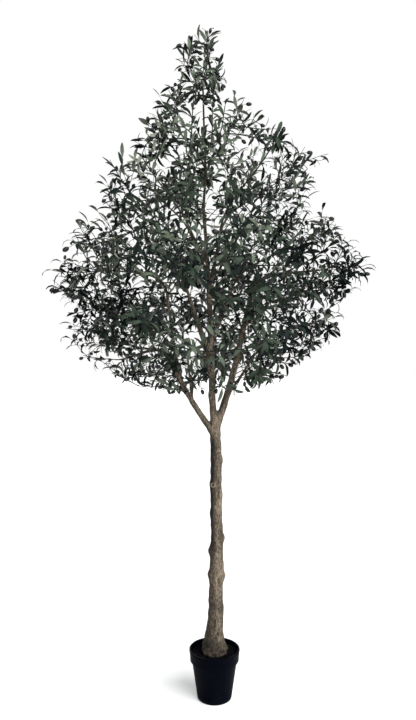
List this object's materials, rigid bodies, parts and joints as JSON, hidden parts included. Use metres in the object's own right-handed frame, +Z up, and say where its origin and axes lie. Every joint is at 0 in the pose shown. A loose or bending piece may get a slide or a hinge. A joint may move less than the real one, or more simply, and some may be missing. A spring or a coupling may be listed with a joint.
{
  "type": "artificial olive tree in a pot",
  "caption": "Tall artificial olive tree with a slim leaning trunk, forked boughs and a pear-shaped head of narrow leaves and dark olives, cemented into a round black pot.",
  "frame": {"origin": "centre of the flat underside of the pot", "axes": "+Z straight up, +X to the right as the tree is seen in the picture, +Y away from the viewer"},
  "size_m": [1.4257, 1.3786, 2.9913],
  "materials": {
    "pot": "satin",
    "fill": "matt",
    "bark": "matt",
    "foliage": "satin"
  },
  "bodies": {
    "root": {"pot": "pot", "pot_fill": "fill", "trunk": "bark", "bough_left_low": "bark", "bough_front_low": "bark", "bough_front_right_low": "bark", "bough_back_right_low": "bark", "bough_back_left_low": "bark", "bough_right_middle": "bark", "bough_back_right_middle": "bark", "bough_back_left_middle": "bark", "bough_left_middle": "bark", "bough_front_left_middle": "bark", "bough_front_right_middle": "bark", "bough_back_right_high": "bark", "bough_back_left_high": "bark", "bough_front_left_high": "bark", "bough_front_right_high": "bark", "foliage_left_low": "foliage", "foliage_front_low": "foliage", "foliage_front_right_low": "foliage", "foliage_back_right_low": "foliage", "foliage_back_left_low": "foliage", "foliage_right_middle": "foliage", "foliage_back_right_middle": "foliage", "foliage_back_left_middle": "foliage", "foliage_left_middle": "foliage", "foliage_front_left_middle": "foliage", "foliage_front_right_middle": "foliage", "foliage_back_right_high": "foliage", "foliage_back_left_high": "foliage", "foliage_front_left_high": "foliage", "foliage_front_right_high": "foliage", "foliage_back_peak": "foliage", "foliage_left_peak": "foliage", "foliage_right_peak": "foliage", "foliage_spire_left_top": "foliage", "foliage_spire_right_top": "foliage"}
  },
  "joints": []
}
